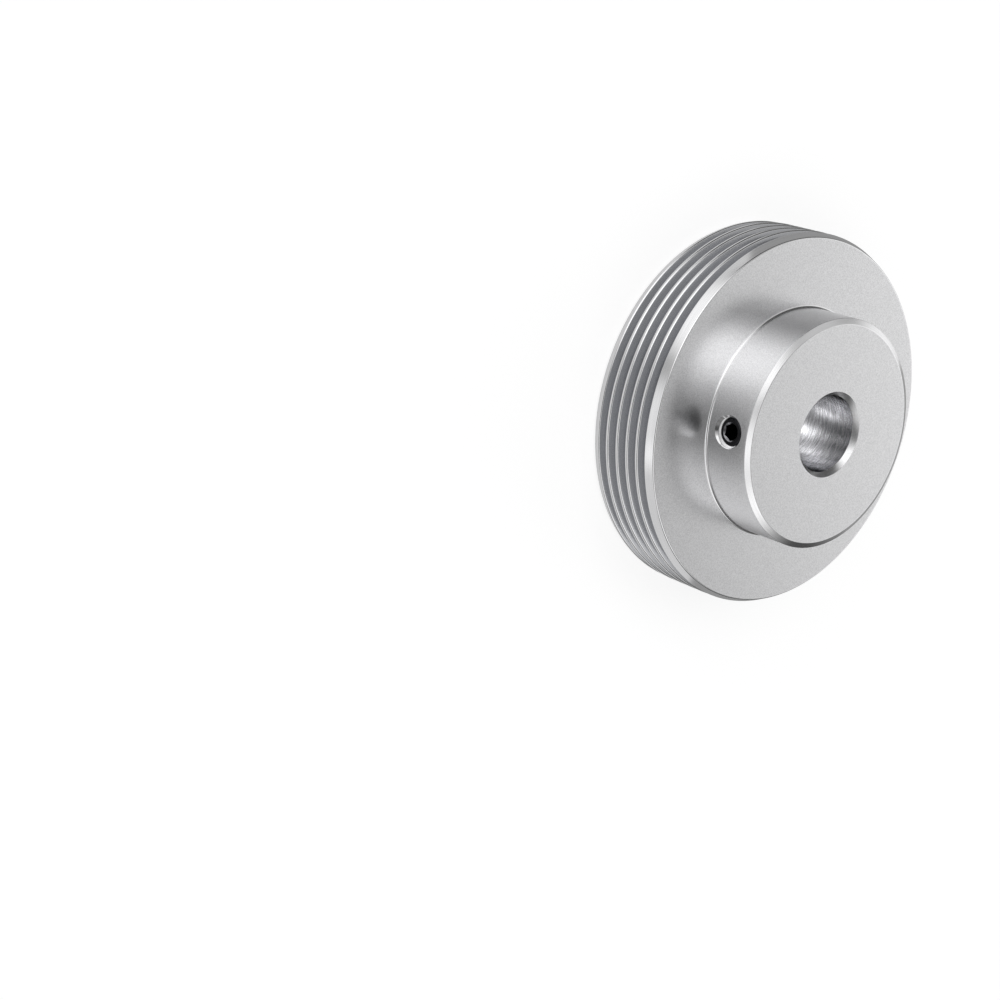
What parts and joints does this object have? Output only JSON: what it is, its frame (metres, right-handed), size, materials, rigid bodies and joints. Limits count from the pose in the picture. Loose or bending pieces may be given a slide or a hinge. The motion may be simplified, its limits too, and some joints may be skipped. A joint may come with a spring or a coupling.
{
  "type": "ribbed belt pulley",
  "caption": "Turned aluminium pulley for a ribbed belt, with vee grooves round its rim, a plain round hub, a through bore and a radial set screw.",
  "frame": {"origin": "centre of the bore at the back face, on which the pulley stands", "axes": "+Z along the bore's axis from the back face towards the hub; the set screw's axis lies along -Y, and +X completes the right-handed frame"},
  "size_m": [0.098, 0.098, 0.0354],
  "materials": {
    "aluminium": "turned and fine satin, with polished chamfers and crests",
    "blackened_steel": "black oxide on alloy steel, slightly oily"
  },
  "bodies": {
    "root": {"pulley_body": "aluminium", "set_screw": "blackened_steel"}
  },
  "joints": []
}
